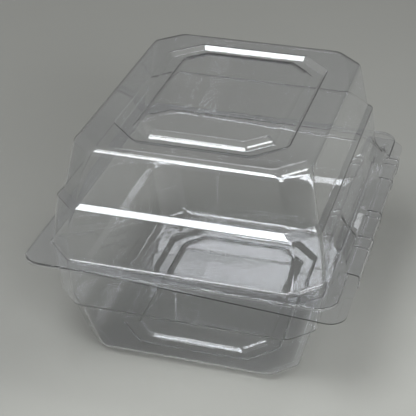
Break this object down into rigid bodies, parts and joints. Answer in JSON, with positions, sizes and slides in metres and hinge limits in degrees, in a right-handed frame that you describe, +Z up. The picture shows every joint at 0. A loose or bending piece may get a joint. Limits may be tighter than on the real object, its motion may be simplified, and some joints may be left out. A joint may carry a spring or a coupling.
{
  "type": "hinged clamshell pack",
  "caption": "Clear thermoformed clamshell pack with a deep tray, an equally deep lid on a ribbed hinge strip, a shoulder in each wall and an octagonal channel in the top and the floor.",
  "frame": {"origin": "middle of the pack's outline, on the ground under the foot ring", "axes": "+X towards the hinge strip, +Y towards the back, +Z up; the front long edge of the picture's lower side faces -Y"},
  "size_m": [0.158, 0.182, 0.1176],
  "materials": {
    "clear_plastic": "clear glossy sheet"
  },
  "bodies": {
    "tray": {"tray": "clear_plastic"},
    "lid": {"lid": "clear_plastic"}
  },
  "joints": [
    {"name": "lid_hinge", "type": "hinge", "parent": "tray", "child": "lid", "pos_m": [0.07731, 0, 0.05579], "axis": [0, 0.9998, 0.0204], "range_deg": [0, 150]}
  ]
}
